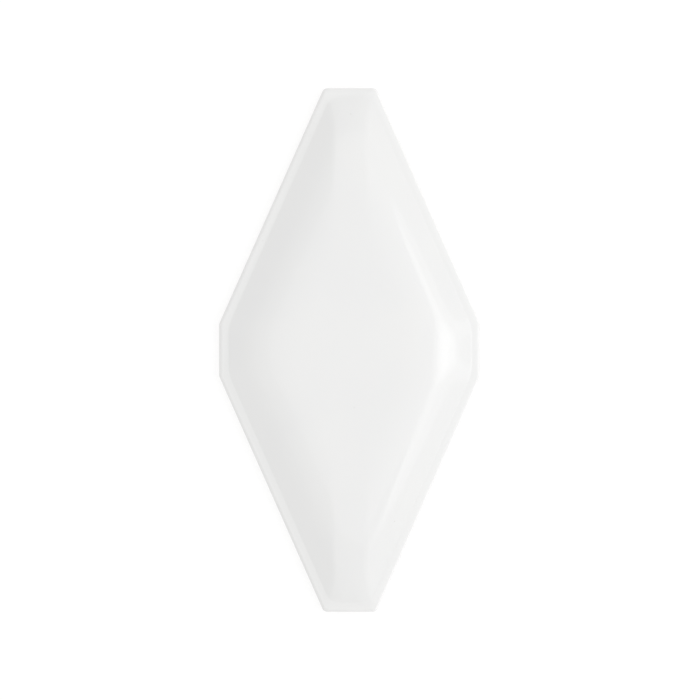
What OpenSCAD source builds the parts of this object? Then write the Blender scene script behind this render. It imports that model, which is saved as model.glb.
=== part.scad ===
// Elongated diamond wall tile with clipped points and a cushioned, gloss-glazed face.
// Millimetres. The origin is the centre of the back, Z points out of the face and Y runs along the tile.

/* [Outline] */
// Length between the flats at the two ends
tile_l = 200; // [170:1:240]
// Width between the flats at the two sides
tile_w = 100; // [90:1:130]
// Length of the flat that clips each end
end_clip = 20; // [14:0.5:26]
// Length of the flat that clips each side
side_clip = 20; // [14:0.5:26]
// Plan radius of the eight corners
corner_r = 2; // [1:0.1:4]

/* [Face] */
// Height of the face above the back where the cushion starts
rim_h = 7.4; // [6.5:0.1:10]
// Width of the rim, from the edge to the cushion
rim_w = 4.2; // [3.7:0.1:6]
// Fall of the rim towards the edge, in degrees
rim_fall = 7; // [4:0.5:12]
// Radius of the hollow where the rim turns up into the cushion
foot_r = 6; // [2:0.5:8]
// Slope of the cushion's bevel, in degrees
bevel_a = 17; // [14:0.5:20]
// Width of the bevel
bevel_w = 5; // [3:0.5:8]
// Width of the crown, over which the slope fades from the bevel to the flat top
crown_w = 20; // [14:0.5:22]
// Power of the fading slope: 1 is a round crown, and higher is flatter towards the top
crown_fade = 1.4; // [1:0.1:2]
// Plan radius of the cushion's corners where it starts
foot_round = 7; // [4:0.1:9]
// Plan radius of the cushion's side corners at its flat top
side_round = 50; // [10:1:60]
// Plan radius of the cushion's end corners at its flat top
end_round = 7; // [4:0.5:12]

/* [Coats] */
// Thickness of the glaze
glaze_t = 0.45; // [0.3:0.05:0.7]
// Thickness of the engobe under the glaze
engobe_t = 0.2; // [0.15:0.05:0.35]
// Height above the back at which the glaze stops
glaze_foot = 2.2; // [1.8:0.1:3.2]
// Width of the engobe left bare below the glaze
engobe_show = 0.5; // [0.3:0.1:0.8]

/* [Body] */
// Radius of the body's upper edge, under the coats
body_edge_r = 0.6; // [0.3:0.1:1]
// Draft of the sides, in degrees
side_draft = 2; // [0:0.5:4]
// Chamfer round the back
back_chamfer = 0.6; // [0.3:0.1:0.9]

/* [Keyed back] */
// Width of the flat land round the back
land_w = 9; // [6:0.5:14]
// Width of the bearing face of each rib
rib_w = 3; // [2:0.1:4.5]
// Distance between the middles of neighbouring ribs
rib_pitch = 10; // [8:0.5:14]
// Depth of the grooves between the ribs
key_depth = 0.9; // [0.5:0.1:1.5]
// Slope of the groove walls from upright, in degrees
key_draft = 30; // [5:1:45]

/* [Facets] */
// Steps round each corner at the sides
side_steps = 6; // [3:1:7]
// Steps round each corner at the ends
end_steps = 10; // [6:1:11]
// Steps up the rounded edge
edge_steps = 4; // [3:1:5]
// Steps through the hollow at the foot of the cushion
foot_steps = 2; // [2:1:3]
// Steps up the crown
crown_steps = 8; // [6:1:9]

/* [Hidden] */
half_l = tile_l / 2;
half_w = tile_w / 2;

// Direction of the long sides' outward normal from X, and their distance from the centre
long_a = atan2(half_w - end_clip / 2, half_l - side_clip / 2);
long_d = half_w * cos(long_a) + side_clip / 2 * sin(long_a);

// The flats at the ends and sides fade out of the inner contours over this much, and never quite vanish
flat_blend = min(end_clip, side_clip) / 5;
flat_min = 0.2;

// Both coats together, and the rounded edge over them
coats = glaze_t + engobe_t;
edge_r = body_edge_r + coats;

// Cushion: its whole width, its foot, and the centre of the hollow there
cushion_w = bevel_w + crown_w;
foot = [rim_w, rim_h];
foot_c = foot + foot_r * up(bevel_a);

// Centre of the rounded edge, found down the straight fall of the rim from the hollow
rim_in = foot_c - foot_r * up(rim_fall);
edge_in = edge_r * (1 - sin(rim_fall));
edge_z = rim_in[1] - (rim_in[0] - edge_in) * tan(rim_fall) - edge_r * cos(rim_fall);

engobe_foot = glaze_foot - engobe_show;

// Grooves of the back
groove_w = rib_pitch - rib_w;
rib_reach = floor((half_w - land_w - rib_w / 2 - groove_w / 2) / rib_pitch);
overcut = 0.5;

// Normal of the face in the plane of inset and height, leaning outwards by a slope in degrees
function up(slope) = [-sin(slope), cos(slope)];

// Half length of a flat: x while it is long, fading to flat_min where x has run below nothing
function fading(x) =
    x > flat_blend ? x :
    x < -flat_blend ? flat_min :
    max(flat_min, pow(x + flat_blend, 2) / (4 * flat_blend));

// Corners of the outline moved inwards by q, in the first quadrant
function side_corner(q) =
    let (y = fading((long_d - q - (half_w - q) * cos(long_a)) / sin(long_a)))
    [(long_d - q - y * sin(long_a)) / cos(long_a), y];
function end_corner(q) =
    let (x = fading((long_d - q - (half_l - q) * sin(long_a)) / cos(long_a)))
    [x, (long_d - q - x * cos(long_a)) / sin(long_a)];

// Plan radius of a contour's corners at an inset from the outline, growing to top_r at the flat top
function contour_r(inset, top_r) =
    inset < edge_r ? corner_r :
    inset < rim_w ? corner_r + (foot_round - corner_r) * (inset - edge_r) / (rim_w - edge_r) :
    foot_round + (top_r - foot_round) * (inset - rim_w) / cushion_w;

// One contour, anticlockwise: the outline at an inset, with side and end corners of two radii, at height z
function contour(inset, z, side_r, end_r) =
    let (
        side_c = side_corner(inset + side_r),
        end_c = end_corner(inset + end_r),
        quarter = concat(
            [for (k = [0:side_steps]) side_c + side_r * heading(long_a * k / side_steps)],
            [for (k = [0:end_steps]) end_c + end_r * heading(long_a + (90 - long_a) * k / end_steps)]
        ),
        last = len(quarter) - 1
    )
    concat(
        [for (p = quarter) [p[0], p[1], z]],
        [for (k = [last:-1:0]) [-quarter[k][0], quarter[k][1], z]],
        [for (p = quarter) [-p[0], -p[1], z]],
        [for (k = [last:-1:0]) [quarter[k][0], -quarter[k][1], z]]
    );
function heading(a) = [cos(a), sin(a)];

// A contour of the tile's own rounding, from an [inset, height] pair
function ring(p) = contour(p[0], p[1], contour_r(p[0], side_round), contour_r(p[0], end_round));

// Crown from the bevel at t = 0 to the flat top at t = 1: its slope fades as a power of the way left
function crown_slope(t) = atan(tan(bevel_a) * pow(1 - t, crown_fade));
function crown_point(t) =
    let (fallen = (1 - pow(1 - t, crown_fade + 1)) / (crown_fade + 1))
    foot + [bevel_w + t * crown_w, tan(bevel_a) * (bevel_w + fallen * crown_w)];

// Section of the face at a depth below the glazed surface: rounded edge, rim, hollow, bevel, crown
function face_section(depth) = concat(
    [for (k = [0:edge_steps])
        [edge_r, edge_z] + (edge_r - depth) * up(90 - (90 - rim_fall) * k / edge_steps)],
    [for (k = [0:foot_steps])
        foot_c - (foot_r + depth) * up(rim_fall + (bevel_a - rim_fall) * k / foot_steps)],
    [for (k = [0:crown_steps])
        crown_point(k / crown_steps) - depth * up(crown_slope(k / crown_steps))]
);

// Point on the side at a height, at a depth below the glazed surface
function side_at(z, depth) = [depth + (edge_z - z) * tan(side_draft), z];

function backwards(list) = [for (k = [len(list) - 1:-1:0]) list[k]];

// Solid bounded by a chain of contours, closed by a flat cap at each end
module ring_solid(rings) {
    n = len(rings[0]);
    top = (len(rings) - 1) * n;
    polyhedron(
        points = [for (r = rings) each r],
        faces = concat(
            [[for (k = [0:n - 1]) k]],
            [for (j = [0:len(rings) - 2]) for (k = [0:n - 1])
                [j * n + k, (j + 1) * n + k, (j + 1) * n + (k + 1) % n, j * n + (k + 1) % n]],
            [[for (k = [n - 1:-1:0]) top + k]]
        )
    );
}

// Coat between two depths below the glazed surface, down to a margin on the sides
module coat(outer, inner, margin) {
    ring_solid([for (p = concat(
        backwards(face_section(inner)),
        [side_at(margin, inner), side_at(margin + inner - outer, outer)],
        face_section(outer)
    )) ring(p)]);
}

// Tapered field of the back inside the land, before the ribs are left standing
module key_field() {
    ring_solid([for (z = [-overcut, key_depth])
        contour(land_w + z * tan(key_draft), z, foot_round, foot_round)]);
}

// One rib, wider at its root than at its bearing face
module rib() {
    top = key_depth + overcut;
    half = rib_w / 2;
    root = half + top * tan(key_draft);
    rotate([90, 0, 0])
        linear_extrude(height = tile_l, center = true)
            polygon([[-half, -2 * overcut], [half, -2 * overcut], [half, 0],
                [root, top], [-root, top], [-half, 0]]);
}

// Pressed and fired clay body with a keyed back
module biscuit_body() {
    edge = side_at(back_chamfer, coats);
    color([0.86, 0.79, 0.69])
        difference() {
            ring_solid([for (p = concat(
                [[edge[0] + back_chamfer, 0], edge],
                face_section(coats)
            )) ring(p)]);
            difference() {
                key_field();
                for (k = [-rib_reach:rib_reach])
                    translate([k * rib_pitch, 0, 0])
                        rib();
            }
        }
}

// Opaque white slip between the body and the glaze
module engobe_coat() {
    color([0.93, 0.92, 0.89])
        coat(glaze_t, coats, engobe_foot);
}

// Gloss white glaze over the face and part way down the sides
module glaze_coat() {
    color([0.97, 0.97, 0.96])
        coat(0, glaze_t, glaze_foot);
}

biscuit_body();
engobe_coat();
glaze_coat();
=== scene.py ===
"""Looks of an elongated diamond tile with clipped points and a cushioned, gloss white glazed face.

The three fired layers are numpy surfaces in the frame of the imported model, in metres.
The tile lies on its back: Z points out of the face and Y runs along the tile.
"""

import bpy
import numpy as np
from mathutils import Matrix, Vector


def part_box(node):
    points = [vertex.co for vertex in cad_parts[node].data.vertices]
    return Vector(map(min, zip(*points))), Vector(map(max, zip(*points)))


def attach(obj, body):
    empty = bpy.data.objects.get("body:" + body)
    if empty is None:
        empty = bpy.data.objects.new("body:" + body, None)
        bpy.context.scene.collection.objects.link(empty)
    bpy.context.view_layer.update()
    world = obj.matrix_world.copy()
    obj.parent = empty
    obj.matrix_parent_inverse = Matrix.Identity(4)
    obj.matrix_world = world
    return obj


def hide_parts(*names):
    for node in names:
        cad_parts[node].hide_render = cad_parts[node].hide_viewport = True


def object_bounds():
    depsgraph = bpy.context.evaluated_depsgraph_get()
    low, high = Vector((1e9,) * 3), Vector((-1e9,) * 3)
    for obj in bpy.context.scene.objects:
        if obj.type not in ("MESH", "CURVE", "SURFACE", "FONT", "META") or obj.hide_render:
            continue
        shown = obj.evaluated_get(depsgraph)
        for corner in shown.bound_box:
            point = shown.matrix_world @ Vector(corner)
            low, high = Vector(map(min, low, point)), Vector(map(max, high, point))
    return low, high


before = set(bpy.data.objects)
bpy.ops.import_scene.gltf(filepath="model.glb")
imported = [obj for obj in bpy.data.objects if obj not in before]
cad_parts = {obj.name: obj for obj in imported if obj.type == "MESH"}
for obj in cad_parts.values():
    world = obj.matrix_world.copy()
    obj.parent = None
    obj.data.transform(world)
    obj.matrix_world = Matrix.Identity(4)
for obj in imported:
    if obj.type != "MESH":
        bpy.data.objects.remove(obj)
cad_low, cad_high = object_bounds()

MM = 0.001

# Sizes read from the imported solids
body_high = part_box("biscuit_body")[1]
engobe_low, engobe_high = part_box("engobe_coat")
glaze_low, glaze_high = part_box("glaze_coat")
HALF_W = glaze_high.x
HALF_L = glaze_high.y
CROWN_H = glaze_high.z
GLAZE_FOOT = glaze_low.z
ENGOBE_FOOT = engobe_low.z
GLAZE_T = HALF_W - engobe_high.x
COATS = HALF_W - body_high.x

# Sizes of the outline and the face, where FOOT_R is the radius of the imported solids' hollow
# at the cushion's foot and GLAZED_FOOT_R the tighter one that the finished face has
END_CLIP = 20 * MM
SIDE_CLIP = 20 * MM
CORNER_R = 2 * MM
RIM_W = 4.2 * MM
RIM_FALL = np.radians(7)
FOOT_R = 6 * MM
GLAZED_FOOT_R = 2 * MM
BEVEL_A = np.radians(17)
BEVEL_W = 5 * MM
CROWN_W = 20 * MM
CROWN_FADE = 1.4
BODY_EDGE_R = 0.6 * MM
SIDE_DRAFT = np.radians(2)
BACK_CHAMFER = 0.6 * MM

# Plan radii of the cushion's corners at its foot and its flat top, softened as glaze softens them,
# and how slowly the end corners turn out of the long sides, where 0 makes plain arcs
SIDE_ROUNDS = (18 * MM, 50 * MM)
END_ROUNDS = (7 * MM, 9 * MM)
END_EASE = 1.6

# Sizes of the keyed back, and the fillet that pressing leaves at its groove walls
LAND_W = 9 * MM
KEY_ROUND = 7 * MM
RIB_W = 3 * MM
RIB_PITCH = 10 * MM
KEY_DEPTH = 0.9 * MM
KEY_DRAFT = np.radians(30)
KEY_FILLET = 0.2 * MM

# Round beads at the feet of the coats
GLAZE_BEAD = 0.5 * MM
ENGOBE_BEAD = 0.3 * MM

# Slow ripples of the fired glaze: wavelength, direction, phase and size
GLAZE_RIPPLES = [
    (61 * MM, 0.4, 1.0, 0.016 * MM),
    (43 * MM, 1.9, 2.2, 0.012 * MM),
    (29 * MM, 2.7, 0.3, 0.006 * MM),
    (19 * MM, 1.2, 4.1, 0.003 * MM),
]

# Waves of the coats' lower margins: turns round the tile, phase and size
GLAZE_MARGIN = [(5, 0.7, 0.10 * MM), (13, 2.1, 0.08 * MM), (31, 0.2, 0.07 * MM), (67, 1.4, 0.04 * MM)]
ENGOBE_MARGIN = [(4, 1.9, 0.08 * MM), (11, 0.6, 0.07 * MM), (37, 2.8, 0.05 * MM), (83, 0.9, 0.03 * MM)]

# Mesh steps up the rounded edge, across the rim, through the hollow, up the bevel and up the crown
FINE_STEPS = (12, 6, 10, 10, 50)
MEDIUM_STEPS = (6, 2, 4, 3, 14)
HIDDEN_STEPS = (4, 2, 3, 2, 10)

# Mesh steps along a quarter of a ring: side flat, side arc, long side, end arc and end flat
FINE_QUARTER = (10, 8, 60, 24, 10)
MEDIUM_QUARTER = (6, 5, 40, 14, 6)

# Mesh steps from the flat top to its middle, round a bead, up the sides and up the back's chamfer
CENTRE_STEPS = 12
BEAD_STEPS = 4
SIDE_STEPS = 6
CHAMFER_STEPS = 3

# Share of the lighter edge band, thin glaze and partly painted edge glow, lost where the edge meets the rim
THIN_AND_GLOW_LOSS = 0.7

# Angle past which an edge of the clay stays sharp
SHARP_A = np.radians(35)

# Values worked out from those sizes, and the least half length of a flat
LONG_A = np.arctan2(HALF_W - END_CLIP / 2, HALF_L - SIDE_CLIP / 2)
LONG_COS = np.cos(LONG_A)
LONG_SIN = np.sin(LONG_A)
LONG_D = HALF_W * LONG_COS + SIDE_CLIP / 2 * LONG_SIN
FLAT_BLEND = min(END_CLIP, SIDE_CLIP) / 5
FLAT_MIN = 0.2 * MM
EDGE_R = BODY_EDGE_R + COATS
CUSHION_W = BEVEL_W + CROWN_W
RIM_H = CROWN_H - np.tan(BEVEL_A) * (BEVEL_W + CROWN_W / (CROWN_FADE + 1))


def up(slope):
    """Normal of the face as (inset, height), leaning outwards by a slope in radians."""
    return np.stack([-np.sin(slope), np.cos(slope)], -1)


# The cushion's foot, as (inset, height), and the centre of its hollow: the smaller radius slips
# down the bevel, so that the rim and the bevel keep their lines
FOOT = np.array([RIM_W, RIM_H])
FOOT_SLIP = (FOOT_R - GLAZED_FOOT_R) * np.tan((BEVEL_A - RIM_FALL) / 2)
FOOT_C = FOOT - FOOT_SLIP * np.array([np.cos(BEVEL_A), np.sin(BEVEL_A)]) + GLAZED_FOOT_R * up(BEVEL_A)

# The inner end of the rim, and where the rounded edge starts
RIM_IN = FOOT_C - GLAZED_FOOT_R * up(RIM_FALL)
EDGE_IN = EDGE_R * (1 - np.sin(RIM_FALL))
EDGE_Z = RIM_IN[1] - (RIM_IN[0] - EDGE_IN) * np.tan(RIM_FALL) - EDGE_R * np.cos(RIM_FALL)


def smooth(x):
    """Smooth step: 0 below 0, 1 above 1, and 3x^2 - 2x^3 between."""
    x = np.clip(x, 0, 1)
    return x * x * (3 - 2 * x)


def fading(x):
    """Half length of a flat: x while it is long, a parabola down to FLAT_MIN where x runs out."""
    soft = (np.clip(x, -FLAT_BLEND, FLAT_BLEND) + FLAT_BLEND) ** 2 / (4 * FLAT_BLEND)
    return np.where(x > FLAT_BLEND, x, np.maximum(soft, FLAT_MIN))


def corners(q):
    """First-quadrant corners of the outline moved inwards by q, at the side and at the end."""
    y = fading((LONG_D - q - (HALF_W - q) * LONG_COS) / LONG_SIN)
    x = fading((LONG_D - q - (HALF_L - q) * LONG_SIN) / LONG_COS)
    side = np.stack([(LONG_D - q - y * LONG_SIN) / LONG_COS, y], -1)
    end = np.stack([x, (LONG_D - q - x * LONG_COS) / LONG_SIN], -1)
    return side, end


def contour_r(inset):
    """Plan radii of side and end corners at an inset: the edge's, growing to the foot's and the top's."""
    stops = [EDGE_R, RIM_W, RIM_W + CUSHION_W]
    side = np.interp(inset, stops, [CORNER_R, *SIDE_ROUNDS])
    end = np.interp(inset, stops, [CORNER_R, *END_ROUNDS])
    return np.stack([side, end], -1)


class Stations:
    """Places round a contour, given as shares along the flats, corner arcs and long side of a quarter.

    A station holds its lean from the side corner to the end corner, its heading, how far the flats draw it
    back to the axes, and the bend that eases the end arcs: a support function s^2 (1 - s)^3 over each arc.
    Four mirrored quarters make the ring, anticlockwise from +X.
    """

    def __init__(self, side_flat, side_arc, long_side, end_arc, end_flat):
        turn = np.pi / 2 - LONG_A
        end_turn = LONG_A + end_arc * turn
        self.lean = np.concatenate([
            0 * side_flat, 0 * side_arc, long_side, 1 + 0 * end_arc, 1 + 0 * end_flat,
        ])
        self.heading = np.concatenate([
            0 * side_flat, side_arc * LONG_A, LONG_A + 0 * long_side, end_turn, np.pi / 2 + 0 * end_flat,
        ])
        n = len(self.lean)
        self.draw = np.ones((n, 2))
        self.draw[: len(side_flat), 1] = side_flat
        self.draw[n - len(end_flat) :, 0] = 1 - end_flat
        across = np.stack([np.cos(end_turn), np.sin(end_turn)], -1)
        along = np.stack([-np.sin(end_turn), np.cos(end_turn)], -1)
        # The support function, and its rate over the turn
        rise = END_EASE * end_arc**2 * (1 - end_arc) ** 3
        rate = END_EASE * end_arc * (1 - end_arc) ** 2 * (2 - 5 * end_arc) / turn
        self.bend = np.zeros((n, 2))
        arc_start = n - len(end_flat) - len(end_arc)
        self.bend[arc_start : n - len(end_flat)] = rise[:, None] * across + rate[:, None] * along
        forward = np.arange(n)
        back = forward[::-1]
        self.order = np.concatenate([forward, back[1:], forward[1:], back[1:-1]])
        counts = [n, n - 1, n - 1, n - 2]
        self.sign = np.stack([np.repeat([1, -1, -1, 1], counts), np.repeat([1, 1, -1, -1], counts)], -1)

    def contour(self, inset, radii):
        """Points (rows, ring, 2) of the outline at each row's inset and its two corner radii."""
        side = corners(inset + radii[:, 0])[0]
        end = corners(inset + radii[:, 1])[1]
        lean = self.lean[:, None]
        base = (side[:, None] * (1 - lean) + end[:, None] * lean) * self.draw
        radius = radii[:, :1] * (1 - self.lean) + radii[:, 1:] * self.lean
        heading = np.stack([np.cos(self.heading), np.sin(self.heading)], -1)
        eased = radius - CORNER_R
        quarter = base + radius[:, :, None] * heading + eased[:, :, None] * self.bend
        return quarter[:, self.order] * self.sign


def even_stations(side_flat, side_arc, long_side, end_arc, end_flat):
    """Stations at even shares, with the given number of steps along each part of a quarter."""
    return Stations(
        np.arange(side_flat) / side_flat,
        np.linspace(0, 1, side_arc + 1),
        np.arange(1, long_side) / long_side,
        np.linspace(0, 1, end_arc + 1),
        np.arange(1, end_flat + 1) / end_flat,
    )


def crown(t):
    """Slope, and (inset, height), of the crown at shares of its width.

    The tangent of the slope fades from the bevel's as a power of the way left.
    The height is its integral.
    """
    slope = np.arctan(np.tan(BEVEL_A) * (1 - t) ** CROWN_FADE)
    climbed = CROWN_W * (1 - (1 - t) ** (CROWN_FADE + 1)) / (CROWN_FADE + 1)
    return slope, FOOT + np.stack([BEVEL_W + t * CROWN_W, np.tan(BEVEL_A) * (BEVEL_W + climbed)], -1)


def face_section(depth, edge_steps, rim_steps, foot_steps, bevel_steps, crown_steps):
    """(inset, height) rows at a depth below the glazed face: rounded edge, rim, hollow, bevel and crown."""
    edge_turn = np.linspace(np.pi / 2, RIM_FALL, edge_steps + 1)
    edge = np.array([EDGE_R, EDGE_Z]) + (EDGE_R - depth) * up(edge_turn)
    foot = FOOT_C - (GLAZED_FOOT_R + depth) * up(np.linspace(RIM_FALL, BEVEL_A, foot_steps + 1))
    slope, surface = crown(np.linspace(0, 1, crown_steps + 1))
    top = surface - depth * up(slope)
    rim_share = np.arange(1, rim_steps)[:, None] / rim_steps
    bevel_share = np.arange(1, bevel_steps)[:, None] / bevel_steps
    rim = edge[-1] * (1 - rim_share) + foot[0] * rim_share
    bevel = foot[-1] * (1 - bevel_share) + top[0] * bevel_share
    return np.concatenate([edge, rim, foot, bevel, top])


def side_section(z, depth):
    """(inset, height) rows of the drafted side at some heights, at a depth below the glazed surface."""
    return np.stack([depth + (EDGE_Z - z) * np.tan(SIDE_DRAFT), z], -1)


def rings(stations, section):
    """Points (rows, ring, 3) of the contours at the rows of an (inset, height) section."""
    inset, z = section.T
    plan = stations.contour(inset, contour_r(inset))
    height = np.broadcast_to(z[:, None, None], plan.shape[:2] + (1,))
    return np.concatenate([plan, height], -1)


def to_centre(ring, steps):
    """Copies of a flat ring drawn in evenly to its middle, short of the middle itself."""
    share = 1 - np.arange(1, steps)[:, None, None] / steps
    return ring * np.concatenate([share, share, np.ones_like(share)], -1)


def loft_faces(rows, n):
    """Quads between successive closed rings of n points, facing outwards where the rows climb outside."""
    j, k = np.meshgrid(np.arange(rows - 1), np.arange(n), indexing="ij")
    nxt = (k + 1) % n
    return np.stack([j * n + k, j * n + nxt, (j + 1) * n + nxt, (j + 1) * n + k], -1).reshape(-1, 4)


def fan_faces(ring, pole, upwards):
    """Triangles from a closed ring of point numbers to a pole, facing up or down."""
    nxt = np.roll(ring, -1)
    first, second = (ring, nxt) if upwards else (nxt, ring)
    return np.stack([first, second, np.full_like(ring, pole)], -1)


def add_piece(name, points, faces, node, material, attributes):
    """Makes a smooth mesh piece from points and face arrays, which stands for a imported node."""
    mesh = bpy.data.meshes.new(name)
    mesh.from_pydata(points.tolist(), [], [face for block in faces for face in block.tolist()])
    mesh.shade_smooth()
    for key, values in attributes.items():
        mesh.attributes.new(key, "FLOAT", "POINT").data.foreach_set("value", values)
    mesh.materials.append(material)
    piece = bpy.data.objects.new(name, mesh)
    bpy.context.scene.collection.objects.link(piece)
    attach(piece, "root")
    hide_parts(node)
    return piece


def margin_wave(stations, waves):
    """Wavy height round the tile: a sum of sines of the angle round the outline."""
    outline = stations.contour(np.zeros(1), np.full((1, 2), CORNER_R))[0]
    angle = np.arctan2(outline[:, 1] / HALF_L, outline[:, 0] / HALF_W)
    turns, phase, size = np.array(waves).T[:, :, None]
    return (size * np.sin(turns * angle + phase)).sum(0)


def glaze_ripple(x, y):
    """Slow unevenness of the fired glaze: a sum of plane sine waves, none of which rises above 0."""
    length, direction, phase, size = np.array(GLAZE_RIPPLES).T[:, :, None]
    along = x * np.cos(direction) + y * np.sin(direction)
    return (size * (np.sin(2 * np.pi * along / length + phase) - 1)).sum(0)


def coat(stations, outer, inner, foot, bead, margin, steps):
    """One closed coat: underside from the middle out, round bead at a wavy foot, outside back in.

    Returns the points, the faces, and each point's row, counted up the outside from the bead,
    which is below 0 on the underside.
    """
    under = rings(stations, face_section(inner, *HIDDEN_STEPS)[::-1])
    under = np.concatenate([to_centre(under[0], CENTRE_STEPS)[::-1], under])
    turn = np.linspace(0, np.pi / 2, BEAD_STEPS + 1)
    bead_rows = side_section(foot + bead * (1 - np.cos(turn)), inner - (inner - outer) * np.sin(turn))
    side_rows = side_section(np.linspace(foot + bead, EDGE_Z, SIDE_STEPS + 1)[1:-1], outer)
    side = rings(stations, np.concatenate([bead_rows, side_rows]))
    side[..., 2] += margin * (EDGE_Z - side[..., 2]) / (EDGE_Z - foot)
    over = rings(stations, face_section(outer, *steps))
    over = np.concatenate([over, to_centre(over[-1], CENTRE_STEPS)])
    chain = np.concatenate([under, side, over])
    rows, n = chain.shape[:2]
    poles = [[0, 0, under[0, 0, 2]], [0, 0, over[-1, 0, 2]]]
    points = np.concatenate([chain.reshape(-1, 3), poles])
    ring = np.arange(n)
    faces = [
        loft_faces(rows, n),
        fan_faces(ring, rows * n, False),
        fan_faces(ring + (rows - 1) * n, rows * n + 1, True),
    ]
    row = np.concatenate([np.repeat(np.arange(rows) - len(under), n), [-1, rows - len(under)]])
    return points, faces, row


def make_glaze():
    """The gloss coat, with the ripples of its fired face and a lighter band over the edge: thin glaze,
    partly painted glow.
    """
    stations = even_stations(*FINE_QUARTER)
    margin = margin_wave(stations, GLAZE_MARGIN)
    points, faces, row = coat(stations, 0, GLAZE_T, GLAZE_FOOT, GLAZE_BEAD, margin, FINE_STEPS)
    edge_row = BEAD_STEPS + SIDE_STEPS
    edge_share = (row - edge_row) / FINE_STEPS[0]
    face = smooth((row - edge_row - FINE_STEPS[0]) / FINE_STEPS[1])
    points[:, 2] += face * glaze_ripple(points[:, 0], points[:, 1])
    # The lighter band over the rounded edge: glaze running thin, and partly a painted glow of the edge
    thin_and_glow = smooth(2 * edge_share) * (1 - THIN_AND_GLOW_LOSS * smooth(2 * edge_share - 1)) * (1 - face)
    attributes = {"thin_and_glow": thin_and_glow, "face": face}
    add_piece("glaze", points, faces, "glaze_coat", gloss_glaze(), attributes)


def make_engobe():
    """The opaque slip under the glaze, which shows only as a matt line below it."""
    stations = even_stations(*MEDIUM_QUARTER)
    margin = margin_wave(stations, ENGOBE_MARGIN)
    points, faces, _ = coat(stations, GLAZE_T, COATS, ENGOBE_FOOT, ENGOBE_BEAD, margin, MEDIUM_STEPS)
    add_piece("engobe", points, faces, "engobe_coat", matt_engobe(), {})


# Groove walls of the back, by their width and the whole of their rounded step, half the width
# of the keyed field, and the ribs' middles on one side
WALL_W = KEY_DEPTH * np.tan(KEY_DRAFT)
STEP_W = WALL_W + 2 * KEY_FILLET
FIELD_W = HALF_W - LAND_W
RIB_X = np.arange(0, FIELD_W - RIB_W / 2 - (RIB_PITCH - RIB_W) / 2, RIB_PITCH)

# Shares of a half column of the back that lie inside the grooves and up to the end of their end walls
GROOVE_SHARE = 0.5
WALL_SHARE = 0.75

# Mesh of the back: lines across a groove wall, even lines between them, and rows of a half column
# along the grooves, their end walls and the land
WALL_LINES = 9
EVEN_LINES = 23
LINE_SPACING = 2 * MM
GROOVE_ROWS = 5
END_WALL_ROWS = 10
LAND_ROWS = 4

# Mesh steps round the side and end arcs of the back's outline
BACK_SIDE_STEPS = 4
BACK_END_STEPS = 8


def key_inset(x, y):
    """Inset of points from the outline, measured to a polygon inside it so that its corners are round."""
    q = LAND_W + KEY_ROUND
    side, end = corners(np.array(q))
    point = np.stack([np.abs(x), np.abs(y)], -1)
    ends = np.array([[side[0], 0], side, end, [0, end[1]]])
    start, run = ends[:-1], np.diff(ends, axis=0)
    to_point = point[..., None, :] - start
    share = np.clip((to_point * run).sum(-1) / (run * run).sum(-1), 0, 1)
    away = np.linalg.norm(to_point - share[..., None] * run, axis=-1).min(-1)
    normal = np.stack([run[:, 1], -run[:, 0]], -1) / np.linalg.norm(run, axis=1)[:, None]
    inside = ((to_point * normal).sum(-1) < 0).all(-1)
    return q + np.where(inside, away, -away)


def key_height(x, y):
    """Height of the back: grooves between ribs, with rounded steps at the ribs and at the land."""
    from_rib = np.abs(np.abs(x)[..., None] - RIB_X).min(-1)
    between_ribs = smooth((from_rib - RIB_W / 2 + KEY_FILLET) / STEP_W)
    in_field = smooth((key_inset(x, y) - LAND_W + KEY_FILLET) / STEP_W)
    return KEY_DEPTH * between_ribs * in_field


def back_lines(inset):
    """Stations whose points on the back's own outline line up with the walls of the grooves."""
    step = np.linspace(-KEY_FILLET, WALL_W + KEY_FILLET, WALL_LINES)
    rib_walls = (RIB_X[:, None] + RIB_W / 2 + step).ravel()
    inner_walls = (RIB_X[1:, None] - RIB_W / 2 - step).ravel()
    spread = np.arange(1, EVEN_LINES + 1) * LINE_SPACING
    places = np.concatenate([rib_walls, inner_walls, FIELD_W - step, spread])
    lines = np.unique(places.round(6))[::-1]
    side, end = corners(np.array(inset + CORNER_R))
    side_x = side[0] + CORNER_R * LONG_COS
    end_x = end[0] + CORNER_R * LONG_COS
    on_long = lines[(lines < side_x) & (lines > end_x)]
    on_arc = lines[(lines < end_x) & (lines > end[0])]
    on_flat = lines[lines < end[0]]
    arc = (np.arccos((on_arc - end[0]) / CORNER_R) - LONG_A) / (np.pi / 2 - LONG_A)
    half_rows = np.concatenate([
        np.linspace(0, GROOVE_SHARE, GROOVE_ROWS + 1)[:-1],
        np.linspace(GROOVE_SHARE, WALL_SHARE, END_WALL_ROWS + 1)[:-1],
        np.linspace(WALL_SHARE, 1, LAND_ROWS + 1),
    ])
    stations = Stations(
        half_rows[:-1],
        np.linspace(0, 1, BACK_SIDE_STEPS + 1),
        (side_x - on_long) / (side_x - end_x),
        np.unique(np.concatenate([np.linspace(0, 1, BACK_END_STEPS + 1), arc])),
        np.append(1 - on_flat / end[0], 1),
    )
    return stations, half_rows


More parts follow.
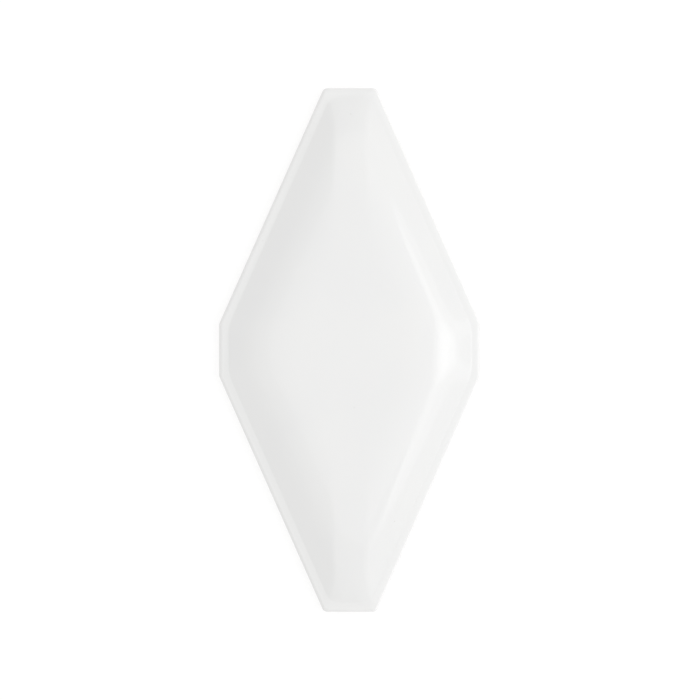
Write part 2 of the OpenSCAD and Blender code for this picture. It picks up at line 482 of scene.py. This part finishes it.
def back_grid(outline, half_rows):
    """Columns across the back from side to side, with rows drawn to the grooves' end walls, as (x, y)."""
    half = len(half_rows) - 1
    columns = (len(outline) - 4 * half) // 2 + 1
    x, reach = outline[half : half + columns].T
    wall_out = (LONG_D - LAND_W + KEY_FILLET - np.abs(x) * LONG_COS) / LONG_SIN
    wall_in = (LONG_D - LAND_W - WALL_W - KEY_FILLET - np.abs(x) * LONG_COS) / LONG_SIN
    wall_out = np.minimum(wall_out, HALF_L - LAND_W + KEY_FILLET)
    wall_in = np.minimum(wall_in, HALF_L - LAND_W - WALL_W - KEY_FILLET)
    beyond = np.abs(x) > FIELD_W + KEY_FILLET
    wall_out = np.where(beyond, WALL_SHARE * reach, wall_out)
    wall_in = np.where(beyond, GROOVE_SHARE * reach, wall_in)
    share = half_rows[None]
    wall_in, wall_out, reach = wall_in[:, None], wall_out[:, None], reach[:, None]
    y = np.where(
        share < GROOVE_SHARE,
        share / GROOVE_SHARE * wall_in,
        np.where(
            share < WALL_SHARE,
            wall_in + (share - GROOVE_SHARE) / (WALL_SHARE - GROOVE_SHARE) * (wall_out - wall_in),
            wall_out + (share - WALL_SHARE) / (1 - WALL_SHARE) * (reach - wall_out),
        ),
    )
    y = np.concatenate([-y[:, :0:-1], y], 1)
    return np.broadcast_to(x[:, None], y.shape), y


def back_faces(columns, half, ring_n, first_inner):
    """Quads of the back's grid facing down, whose rim takes the point numbers of the ring round it."""
    rows = 2 * half + 1
    last, top = columns - 1, rows - 1
    rim_column = np.concatenate([
        np.zeros(half, int),
        np.arange(last),
        np.full(2 * half, last),
        np.arange(last, 0, -1),
        np.zeros(half, int),
    ])
    rim_row = np.concatenate([
        np.arange(half, top),
        np.full(last, top),
        np.arange(top, 0, -1),
        np.zeros(last, int),
        np.arange(half),
    ])
    number = np.zeros((columns, rows), int)
    number[1:-1, 1:-1] = first_inner + np.arange((columns - 2) * (rows - 2)).reshape(columns - 2, -1)
    number[rim_column, rim_row] = np.arange(ring_n)
    quads = [number[:-1, :-1], number[1:, :-1], number[1:, 1:], number[:-1, 1:]]
    return np.stack(quads, -1).reshape(-1, 4)


def make_body():
    """The clay body: rings up its sides and hidden face, and a grid in the lowest ring for its back."""
    chamfer_inset = side_section(np.array([BACK_CHAMFER]), COATS)[0, 0]
    stations, half_rows = back_lines(chamfer_inset + BACK_CHAMFER)
    share = np.linspace(0, 1, CHAMFER_STEPS + 1)[:, None]
    chamfer = np.array([chamfer_inset + BACK_CHAMFER, 0]) + share * np.array([-BACK_CHAMFER, BACK_CHAMFER])
    side = side_section(np.linspace(BACK_CHAMFER, EDGE_Z, SIDE_STEPS + 1)[1:-1], COATS)
    chain = rings(stations, np.concatenate([chamfer, side, face_section(COATS, *HIDDEN_STEPS)]))
    chain = np.concatenate([chain, to_centre(chain[-1], CENTRE_STEPS)])
    rows, n = chain.shape[:2]
    x, y = back_grid(chain[0, :, :2], half_rows)
    inner_x, inner_y = x[1:-1, 1:-1], y[1:-1, 1:-1]
    inner = np.stack([inner_x, inner_y, key_height(inner_x, inner_y)], -1).reshape(-1, 3)
    pole = [[0, 0, chain[-1, 0, 2]]]
    points = np.concatenate([chain.reshape(-1, 3), pole, inner])
    faces = [
        loft_faces(rows, n),
        fan_faces(np.arange(n) + (rows - 1) * n, rows * n, True),
        back_faces(len(x), len(half_rows) - 1, n, rows * n + 1),
    ]
    piece = add_piece("biscuit", points, faces, "biscuit_body", fired_clay(), {})
    piece.data.set_sharp_from_angle(angle=SHARP_A)


# Colour sockets of a Mix node: its two inputs and its output
COLOUR_A = 6
COLOUR_B = 7
COLOUR_OUT = 2

# Share of a dot's radius inside which it is full
DOT_CORE = 0.5


def new_material(name):
    """An empty node material and its shader."""
    material = bpy.data.materials.new(name)
    material.use_nodes = True
    return material, material.node_tree, material.node_tree.nodes["Principled BSDF"]


def add_node(tree, kind, settings=(), **inputs):
    """Adds a node, sets its options, and sets or links its inputs by name."""
    node = tree.nodes.new(kind)
    for key, value in dict(settings).items():
        setattr(node, key, value)
    for key, value in inputs.items():
        join(tree, value, node.inputs[key.replace("_", " ")])
    return node


def join(tree, value, socket):
    """Links a socket to an input, or writes a plain value there."""
    if isinstance(value, bpy.types.NodeSocket):
        tree.links.new(value, socket)
    else:
        socket.default_value = value


def mix_colour(tree, share, first, second):
    """A colour between two colours."""
    node = add_node(tree, "ShaderNodeMix", {"data_type": "RGBA"})
    join(tree, share, node.inputs[0])
    join(tree, first, node.inputs[COLOUR_A])
    join(tree, second, node.inputs[COLOUR_B])
    return node.outputs[COLOUR_OUT]


def maths(tree, operation, first, second=0.0):
    """The result of one arithmetic node."""
    node = add_node(tree, "ShaderNodeMath", {"operation": operation})
    join(tree, first, node.inputs[0])
    join(tree, second, node.inputs[1])
    return node.outputs[0]


def ramp(tree, value, low, high, to_low=0.0, to_high=1.0):
    """A value carried smoothly from one range to another and held at its ends."""
    node = add_node(tree, "ShaderNodeMapRange", {"interpolation_type": "SMOOTHSTEP"}, Value=value)
    for key, number in (("From Min", low), ("From Max", high), ("To Min", to_low), ("To Max", to_high)):
        node.inputs[key].default_value = number
    return node.outputs["Result"]


def noise(tree, place, size, detail=2.0, roughness=0.5):
    """Noise from 0 to 1 whose grain has about the given size in metres."""
    node = add_node(
        tree, "ShaderNodeTexNoise", Vector=place, Scale=1 / size, Detail=detail, Roughness=roughness
    )
    return node.outputs["Fac"]


def dots(tree, place, spacing, radius, kept, dimensions="3D"):
    """Sparse round dots: 1 inside a share of the cells' middles, 0 elsewhere."""
    node = add_node(
        tree, "ShaderNodeTexVoronoi", {"voronoi_dimensions": dimensions}, Vector=place, Scale=1 / spacing
    )
    reach = radius / spacing
    inside = ramp(tree, node.outputs["Distance"], DOT_CORE * reach, reach, 1.0, 0.0)
    chance = add_node(tree, "ShaderNodeSeparateColor", Color=node.outputs["Color"]).outputs[0]
    return maths(tree, "MULTIPLY", inside, maths(tree, "LESS_THAN", chance, kept))


def shaken(tree, place, size, reach):
    """Places shifted along each axis by a share of a reach, from a noise, so that dots come out uneven."""
    shift = add_node(tree, "ShaderNodeTexNoise", Vector=place, Scale=1 / size).outputs["Color"]
    shaken_place = add_node(tree, "ShaderNodeVectorMath", {"operation": "MULTIPLY_ADD"})
    join(tree, shift, shaken_place.inputs[0])
    join(tree, (reach, reach, reach), shaken_place.inputs[1])
    join(tree, place, shaken_place.inputs[2])
    return shaken_place.outputs["Vector"]


def object_place(tree):
    """Object coordinates, which are the part's own metres."""
    return add_node(tree, "ShaderNodeTexCoord").outputs["Object"]


def bump(tree, height, depth):
    """A normal bent by a height map of the given depth in metres."""
    return add_node(tree, "ShaderNodeBump", Height=height, Strength=1.0, Distance=depth).outputs["Normal"]


# Colours of the glaze, the engobe and the clay
WHITE = (0.845, 0.845, 0.838, 1)
WHITE_SHADE = (0.835, 0.836, 0.832, 1)
# Lighter white of the rounded edge: thin glaze, and partly a painted glow of the edge
WHITE_THIN_AND_GLOW = (0.915, 0.913, 0.905, 1)
PINHOLE = (0.66, 0.65, 0.63, 1)
ENGOBE = (0.80, 0.785, 0.75, 1)
ENGOBE_DULL = (0.74, 0.72, 0.68, 1)
CLAY = (0.66, 0.545, 0.425, 1)
CLAY_PALE = (0.74, 0.64, 0.525, 1)
CLAY_GRAIN = (0.56, 0.44, 0.33, 1)
CLAY_SPECK = (0.36, 0.27, 0.20, 1)
KILN_WASH = (0.80, 0.775, 0.73, 1)

# Finish of the glaze: refraction, roughness at its best and its dullest, the depth of its slight peel,
# and how many times that depth a pinhole has
GLAZE_IOR = 1.52
GLAZE_ROUGHNESS = (0.045, 0.075)
PEEL_DEPTH = 0.004 * MM
PINHOLE_DEPTH = 4.0

# Finish of the engobe and the clay: roughness, depth of the grain, and how strongly specks show
ENGOBE_ROUGHNESS = 0.72
ENGOBE_GRAIN = 0.03 * MM
CLAY_ROUGHNESS = 0.88
CLAY_RELIEF = 0.06 * MM
SPECK_SHARE = 0.55

# Heights between which the kiln wash on the back's bearing faces fades out
WASH_HEIGHTS = (0.02 * MM, 0.12 * MM)


def gloss_glaze():
    """Gloss white glaze: faint cloud, an edge lighter as thin glaze and painted glow, a few pinholes, a
    slight peel.
    """
    material, tree, shader = new_material("gloss_white_glaze")
    place = object_place(tree)
    thin_and_glow = add_node(tree, "ShaderNodeAttribute", {"attribute_name": "thin_and_glow"}).outputs["Fac"]
    face = add_node(tree, "ShaderNodeAttribute", {"attribute_name": "face"}).outputs["Fac"]
    cloud = ramp(tree, noise(tree, place, size=35 * MM), low=0.35, high=0.65)
    colour = mix_colour(tree, cloud, WHITE, WHITE_SHADE)
    patches = ramp(tree, noise(tree, place, size=9 * MM), low=0.3, high=0.7, to_low=0.6, to_high=0.9)
    # Lighter over the rounded edge: thin glaze, and partly a painted glow of the edge
    colour = mix_colour(tree, maths(tree, "MULTIPLY", thin_and_glow, patches), colour, WHITE_THIN_AND_GLOW)
    pinholes = dots(tree, place, spacing=17 * MM, radius=0.22 * MM, kept=0.1, dimensions="2D")
    pinholes = maths(tree, "MULTIPLY", pinholes, face)
    colour = mix_colour(tree, pinholes, colour, PINHOLE)
    tree.links.new(colour, shader.inputs["Base Color"])
    best, dullest = GLAZE_ROUGHNESS
    gloss = ramp(tree, noise(tree, place, size=14 * MM), low=0.3, high=0.7, to_low=best, to_high=dullest)
    tree.links.new(gloss, shader.inputs["Roughness"])
    peel = noise(tree, place, size=2.2 * MM, detail=1.0)
    height = maths(tree, "SUBTRACT", peel, maths(tree, "MULTIPLY", pinholes, PINHOLE_DEPTH))
    tree.links.new(bump(tree, height, PEEL_DEPTH), shader.inputs["Normal"])
    shader.inputs["IOR"].default_value = GLAZE_IOR
    return material


def matt_engobe():
    """Matt white slip: chalky, with a fine grain."""
    material, tree, shader = new_material("matt_white_engobe")
    place = object_place(tree)
    chalk = ramp(tree, noise(tree, place, size=3 * MM, detail=4.0), low=0.35, high=0.7)
    tree.links.new(mix_colour(tree, chalk, ENGOBE, ENGOBE_DULL), shader.inputs["Base Color"])
    grain = noise(tree, place, size=0.4 * MM, detail=3.0)
    tree.links.new(bump(tree, grain, ENGOBE_GRAIN), shader.inputs["Normal"])
    shader.inputs["Roughness"].default_value = ENGOBE_ROUGHNESS
    return material


def fired_clay():
    """Porous fired clay: mottled buff with specks and pores, and chalky kiln wash on its bearing faces."""
    material, tree, shader = new_material("fired_clay")
    place = object_place(tree)
    mottle = ramp(tree, noise(tree, place, size=12 * MM, detail=5.0, roughness=0.6), low=0.3, high=0.7)
    colour = mix_colour(tree, mottle, CLAY, CLAY_PALE)
    grain = noise(tree, place, size=0.5 * MM, detail=5.0, roughness=0.65)
    grain_share = ramp(tree, grain, low=0.48, high=0.7, to_low=0.0, to_high=0.55)
    colour = mix_colour(tree, grain_share, colour, CLAY_GRAIN)
    uneven = shaken(tree, place, size=0.7 * MM, reach=0.5 * MM)
    specks = dots(tree, uneven, spacing=1.6 * MM, radius=0.42 * MM, kept=0.4)
    colour = mix_colour(tree, maths(tree, "MULTIPLY", specks, SPECK_SHARE), colour, CLAY_SPECK)
    height = add_node(tree, "ShaderNodeSeparateXYZ", Vector=place).outputs["Z"]
    bearing = ramp(tree, height, *WASH_HEIGHTS, to_low=1.0, to_high=0.0)
    brushed = noise(tree, place, size=7 * MM, detail=6.0, roughness=0.7)
    streaks = ramp(tree, brushed, low=0.38, high=0.6, to_low=0.15, to_high=0.9)
    colour = mix_colour(tree, maths(tree, "MULTIPLY", bearing, streaks), colour, KILN_WASH)
    tree.links.new(colour, shader.inputs["Base Color"])
    pores = dots(tree, uneven, spacing=0.9 * MM, radius=0.26 * MM, kept=0.5)
    relief = maths(tree, "SUBTRACT", grain, pores)
    tree.links.new(bump(tree, relief, CLAY_RELIEF), shader.inputs["Normal"])
    shader.inputs["Roughness"].default_value = CLAY_ROUGHNESS
    return material


# Floor: half its width, its drop below the back, its colour to the light, and where it is seen
# the colour that takes its shadows and the glow that lifts it to white
FLOOR_REACH = 4.0
FLOOR_DROP = 0.02 * MM
FLOOR_LIT = (0.95, 0.95, 0.95, 1)
FLOOR_SHADED = (0.25, 0.25, 0.25, 1)
FLOOR_LIFT = 0.8


def floor_material():
    """White floor: plain matt to the light, and lifted to white where it is seen, with its shadows kept."""
    material, tree, shader = new_material("white_floor")
    tree.nodes.remove(shader)
    path = add_node(tree, "ShaderNodeLightPath").outputs
    seen = maths(tree, "MAXIMUM", path["Is Camera Ray"], path["Is Glossy Ray"])
    seen = maths(tree, "MAXIMUM", seen, path["Is Transmission Ray"])
    plain = add_node(tree, "ShaderNodeBsdfDiffuse", Color=FLOOR_LIT)
    shaded = add_node(tree, "ShaderNodeBsdfDiffuse", Color=FLOOR_SHADED)
    lift = add_node(tree, "ShaderNodeEmission", Color=(1, 1, 1, 1), Strength=FLOOR_LIFT)
    white = add_node(tree, "ShaderNodeAddShader")
    tree.links.new(shaded.outputs[0], white.inputs[0])
    tree.links.new(lift.outputs[0], white.inputs[1])
    choice = add_node(tree, "ShaderNodeMixShader")
    join(tree, seen, choice.inputs[0])
    tree.links.new(plain.outputs[0], choice.inputs[1])
    tree.links.new(white.outputs[0], choice.inputs[2])
    tree.links.new(choice.outputs[0], tree.nodes["Material Output"].inputs["Surface"])
    return material


def make_floor():
    """A flat square floor just below the tile's back."""
    mesh = bpy.data.meshes.new("floor")
    square = [(-1, -1, 0), (1, -1, 0), (1, 1, 0), (-1, 1, 0)]
    mesh.from_pydata([FLOOR_REACH * Vector(corner) for corner in square], [], [(0, 1, 2, 3)])
    mesh.materials.append(floor_material())
    floor = bpy.data.objects.new("floor", mesh)
    floor.location.z = cad_low.z - FLOOR_DROP
    bpy.context.scene.collection.objects.link(floor)


# Radiance of the even surround, where 1 all round would light a surface at its own colour
SURROUND = 0.745

# Soft round lights above the tile, each a step below the last: middle, widths and radiance
LIGHT_TOP = 1.04
LIGHT_STEP = 0.02
SOFT_LIGHTS = [
    ("ceiling", (0.30, 0.05), (1.65, 1.50), 0.19),
    ("overhead", (0.15, 0.05), (0.90, 0.70), 0.36),
    ("key_halo", (0.565, -0.01), (0.37, 0.72), 0.70),
    ("key_core", (0.50, -0.01), (0.38, 0.34), 0.55),
    ("key_spot", (0.50, -0.01), (0.32, 0.20), 0.45),
    ("key_strip", (0.455, -0.02), (0.11, 0.68), 0.42),
]

# Soft box low on the right: middle, widths and radiance
SIDE_BOX_AT = (0.6, 0.0, 0.35)
SIDE_BOX_SIZE = (0.4, 0.5)
SIDE_BOX = 2.05

# Directions in which lights shine
DOWN = (0, 0, -1)
TO_LEFT = (-1, 0, 0)


def add_light(name, shape, place, toward, size, radiance, mirrored):
    """A soft light of a shape and two widths, turned to a direction, with its power from its radiance.

    One that isn't mirrored lights the tile but doesn't show as a reflection in the glaze.
    """
    data = bpy.data.lights.new(name, "AREA")
    data.shape = shape
    data.size, data.size_y = size
    area = size[0] * size[1] * (np.pi / 4 if shape == "ELLIPSE" else 1)
    data.energy = radiance * np.pi * area
    light = bpy.data.objects.new(name, data)
    light.location = place
    light.rotation_euler = Vector(toward).to_track_quat("-Z", "Y").to_euler()
    light.visible_camera = False
    light.visible_glossy = mirrored
    bpy.context.scene.collection.objects.link(light)


def make_studio():
    """An even surround, soft lights overhead, brightest at the right, and a soft box low at the right."""
    for k, (name, middle, size, radiance) in enumerate(SOFT_LIGHTS):
        place = (*middle, LIGHT_TOP - k * LIGHT_STEP)
        add_light(name, "ELLIPSE", place, DOWN, size, radiance, mirrored=True)
    add_light("side_box", "RECTANGLE", SIDE_BOX_AT, TO_LEFT, SIDE_BOX_SIZE, SIDE_BOX, mirrored=False)
    world = bpy.data.worlds.new("surround")
    world.use_nodes = True
    background = world.node_tree.nodes["Background"]
    background.inputs["Color"].default_value = (1, 1, 1, 1)
    background.inputs["Strength"].default_value = SURROUND
    bpy.context.scene.world = world


# The photograph's framing, in pixels: the width of the square picture and the tile's length in it
PICTURE_PX = 700
LENGTH_PX = 523.5
LENGTH_SHARE = LENGTH_PX / PICTURE_PX

# Height of the camera above the back, in metres, and the width of its sensor, in millimetres
CAMERA_H = 1.2
SENSOR = 36


def make_camera():
    """A long lens straight above the tile, with Y up in the picture."""
    data = bpy.data.cameras.new("camera")
    data.sensor_width = SENSOR
    data.lens = SENSOR * (CAMERA_H - EDGE_Z) / (2 * HALF_L / LENGTH_SHARE)
    camera = bpy.data.objects.new("camera", data)
    camera.location = (0, 0, CAMERA_H)
    bpy.context.scene.collection.objects.link(camera)
    bpy.context.scene.camera = camera


make_body()
make_engobe()
make_glaze()
make_floor()
make_studio()
make_camera()
bpy.context.scene.view_settings.view_transform = "Standard"
